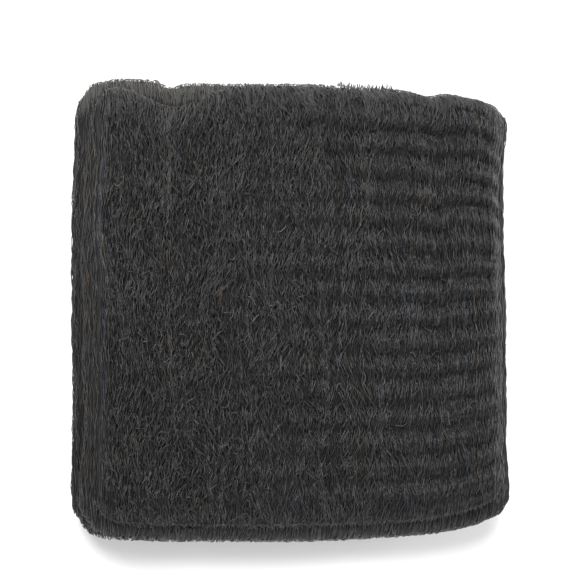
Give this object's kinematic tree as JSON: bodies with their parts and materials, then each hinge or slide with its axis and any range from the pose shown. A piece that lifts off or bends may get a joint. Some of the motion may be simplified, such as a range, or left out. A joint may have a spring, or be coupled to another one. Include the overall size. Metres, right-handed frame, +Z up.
{
  "type": "folded bird netting",
  "caption": "Garden bird netting drawn together into a thick band and folded back and forth into a flat square pad.",
  "frame": {"origin": "middle of the pad's outline, on the surface that its flat underside rests on", "axes": "+X across the band, from its left side edge to its right one, +Y along the layers towards the far folds, +Z up out of the front layer"},
  "size_m": [0.3234, 0.3226, 0.0633],
  "materials": {
    "netting": "dull black extruded plastic net"
  },
  "bodies": {
    "root": {"netting": "netting"}
  },
  "joints": []
}
